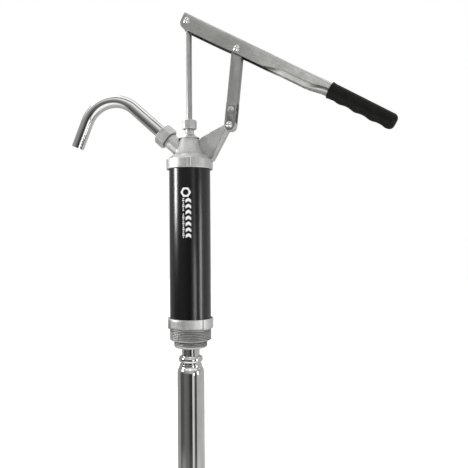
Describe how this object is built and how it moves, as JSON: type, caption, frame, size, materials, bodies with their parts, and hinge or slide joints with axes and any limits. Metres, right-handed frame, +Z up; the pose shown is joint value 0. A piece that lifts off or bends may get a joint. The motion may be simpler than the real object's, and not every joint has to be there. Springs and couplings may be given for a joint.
{
  "type": "hand-lever fluid transfer pump",
  "caption": "Drum-mounted piston pump worked by a long hand lever and link, with a swivelling bent spout, a threaded base collar and a telescopic suction tube.",
  "frame": {"origin": "centre of the base collar's underside, where the thread for the drum starts", "axes": "+Z up the barrel, +X towards the lever's grip, the lever swings in the XZ plane"},
  "size_m": [0.4691, 0.066, 0.8192],
  "materials": {
    "cast_alloy": "as-cast, fine grain, satin",
    "cast_nut": "as-cast, satin",
    "zinc_nut": "zinc plated",
    "black_paint": "satin black enamel",
    "nitrile": "matt",
    "zinc_steel": "bright zinc plate",
    "chromed_tube": "polished chrome plate",
    "chromed_spout": "polished chrome plate",
    "brass": "machined",
    "white_nylon": "moulded",
    "black_plastic": "moulded",
    "bearing_steel": "polished",
    "ground_steel": "centreless ground",
    "machined_alloy": "machined",
    "zinc_pressing": "zinc plated pressing",
    "zinc_link": "zinc plated pressing, dull",
    "grip_rubber": "matt moulded",
    "rivet_steel": "zinc plated rivet",
    "screw_steel": "zinc plated"
  },
  "bodies": {
    "pump_body": {"head_casting": "cast_alloy", "barrel": "black_paint", "base_casting": "cast_alloy", "head_gasket": "nitrile", "base_gasket": "nitrile", "packing_nut": "zinc_nut", "rod_packing": "nitrile", "packing_washer": "zinc_steel", "spout_nut": "cast_nut", "spout_seal": "nitrile", "upper_suction_tube": "chromed_tube", "upper_tube_ring": "white_nylon", "ball_cage": "brass", "valve_seat": "brass"},
    "plunger": {"piston_rod": "ground_steel", "rod_eye": "zinc_steel", "rod_washers": "zinc_steel", "piston_body": "machined_alloy", "piston_cup": "nitrile", "cup_plate": "zinc_steel", "cup_spreader": "machined_alloy", "valve_stop": "zinc_steel", "piston_nuts": "zinc_steel"},
    "piston_valve": {"piston_valve_disc": "brass"},
    "lever": {"lever_channel": "zinc_pressing", "lever_grip": "grip_rubber", "rod_pin": "rivet_steel", "fulcrum_pin_ends": "rivet_steel"},
    "link": {"link_channel": "zinc_link", "link_screw": "screw_steel", "link_screw_nut": "zinc_steel", "link_spacer": "zinc_steel", "fulcrum_pin_shank": "rivet_steel", "bracket_pin": "rivet_steel"},
    "spout": {"spout_tube": "chromed_spout", "spout_ferrule": "brass"},
    "middle_tube": {"middle_suction_tube": "chromed_tube", "tube_o_ring": "nitrile", "middle_tube_ring": "white_nylon"},
    "outer_tube": {"outer_suction_tube": "chromed_tube", "foot_strainer": "black_plastic"},
    "foot_valve": {"foot_valve_ball": "bearing_steel"}
  },
  "joints": [
    {"name": "pump_stroke", "type": "slide", "parent": "pump_body", "child": "plunger", "axis": [0, 0, 1], "range_m": [-0.1, 0]},
    {"name": "lever_swing", "type": "hinge", "parent": "plunger", "child": "lever", "pos_m": [0, 0, 0.4348], "axis": [0, -1, 0], "range_deg": [0, 73.2]},
    {"name": "link_swing", "type": "hinge", "parent": "pump_body", "child": "link", "pos_m": [0.0605, 0, 0.2849], "axis": [0, -1, 0], "range_deg": [0, 4.2]},
    {"name": "spout_swivel", "type": "hinge", "parent": "pump_body", "child": "spout", "pos_m": [0, 0, 0.2415], "axis": [-0.7431, 0, 0.6691], "range_deg": [-90, 90]},
    {"name": "middle_tube_slide", "type": "slide", "parent": "pump_body", "child": "middle_tube", "axis": [0, 0, -1], "range_m": [0, 0.25]},
    {"name": "outer_tube_slide", "type": "slide", "parent": "middle_tube", "child": "outer_tube", "axis": [0, 0, -1], "range_m": [0, 0.25]},
    {"name": "foot_valve_lift", "type": "slide", "parent": "pump_body", "child": "foot_valve", "axis": [0, 0, 1], "range_m": [0, 0.004]},
    {"name": "piston_valve_lift", "type": "slide", "parent": "plunger", "child": "piston_valve", "axis": [0, 0, 1], "range_m": [0, 0.003]}
  ],
  "couplings": [
    {"joint": "lever_swing", "follows": "pump_stroke", "rad_per_m": -12.764},
    {"joint": "link_swing", "follows": "pump_stroke", "rad_per_m": -0.72893}
  ]
}
